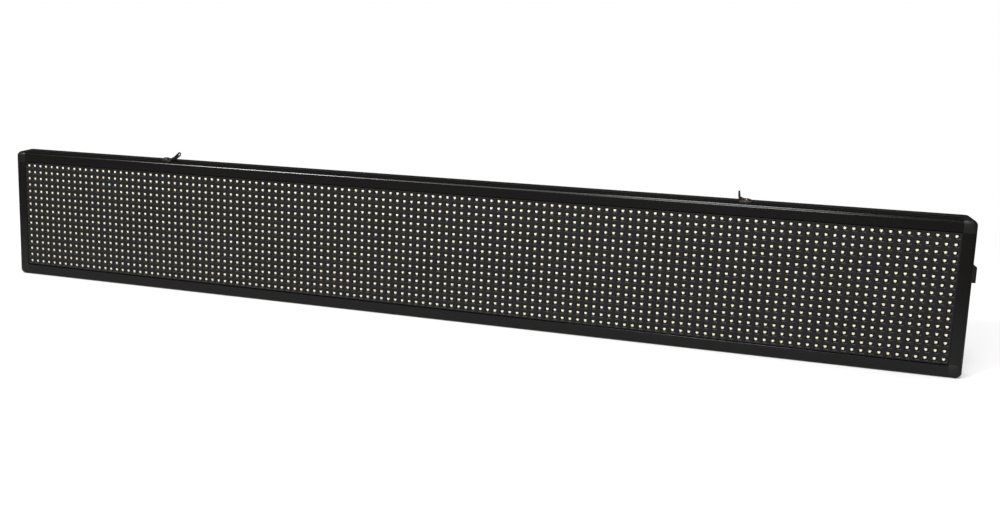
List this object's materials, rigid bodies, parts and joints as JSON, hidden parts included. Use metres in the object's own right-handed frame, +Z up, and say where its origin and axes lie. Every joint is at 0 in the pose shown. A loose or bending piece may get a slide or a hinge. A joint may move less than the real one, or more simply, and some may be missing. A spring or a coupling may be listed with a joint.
{
  "type": "led display panel",
  "caption": "Long slim LED matrix display: lamp modules behind dark masks in a grooved rail frame with moulded corners, hanging ears and a side power inlet.",
  "frame": {"origin": "centre of the underside, at the middle of the frame's depth", "axes": "+Z up; X along the panel, +X to the right as seen from the front; the lamps face -Y"},
  "size_m": [1.318, 0.0402, 0.2026],
  "materials": {
    "rail": "satin black anodised",
    "corner": "moulded, fine texture",
    "mask": "matte black",
    "lamp": "clear over a cream reflector",
    "circuit_board": "black solder resist",
    "moulding": "moulded",
    "crossbar": "zinc plated",
    "cover": "powder coat",
    "hanger": "satin",
    "bright_steel": "bright",
    "screw": "zinc plated",
    "brass": "turned",
    "inlet": "moulded",
    "nylon": "moulded",
    "ribbon": "extruded",
    "lead": "extruded"
  },
  "bodies": {
    "root": {"back_cover": "cover", "board_1": "circuit_board", "board_2": "circuit_board", "board_3": "circuit_board", "board_4": "circuit_board", "bottom_rail": "rail", "card_posts": "brass", "controller_card": "circuit_board", "corner_lower_left": "corner", "corner_lower_right": "corner", "corner_upper_left": "corner", "corner_upper_right": "corner", "cover_screws": "screw", "crossbar_1": "crossbar", "crossbar_2": "crossbar", "crossbar_3": "crossbar", "crossbar_4": "crossbar", "crossbar_5": "crossbar", "hanger_bolts": "bright_steel", "hanger_left": "hanger", "hanger_nuts": "bright_steel", "hanger_right": "hanger", "inlet_nut": "brass", "lamps_1": "lamp", "lamps_2": "lamp", "lamps_3": "lamp", "lamps_4": "lamp", "left_rail": "rail", "mask_1": "mask", "mask_2": "mask", "mask_3": "mask", "mask_4": "mask", "module_frame_1": "moulding", "module_frame_2": "moulding", "module_frame_3": "moulding", "module_frame_4": "moulding", "module_screws": "screw", "power_headers": "nylon", "power_inlet": "inlet", "power_lead": "lead", "power_plugs": "nylon", "ribbon_cable_1": "ribbon", "ribbon_cable_2": "ribbon", "ribbon_cable_3": "ribbon", "ribbon_cable_4": "ribbon", "ribbon_sockets": "moulding", "right_rail": "rail", "top_rail": "rail"}
  },
  "joints": []
}
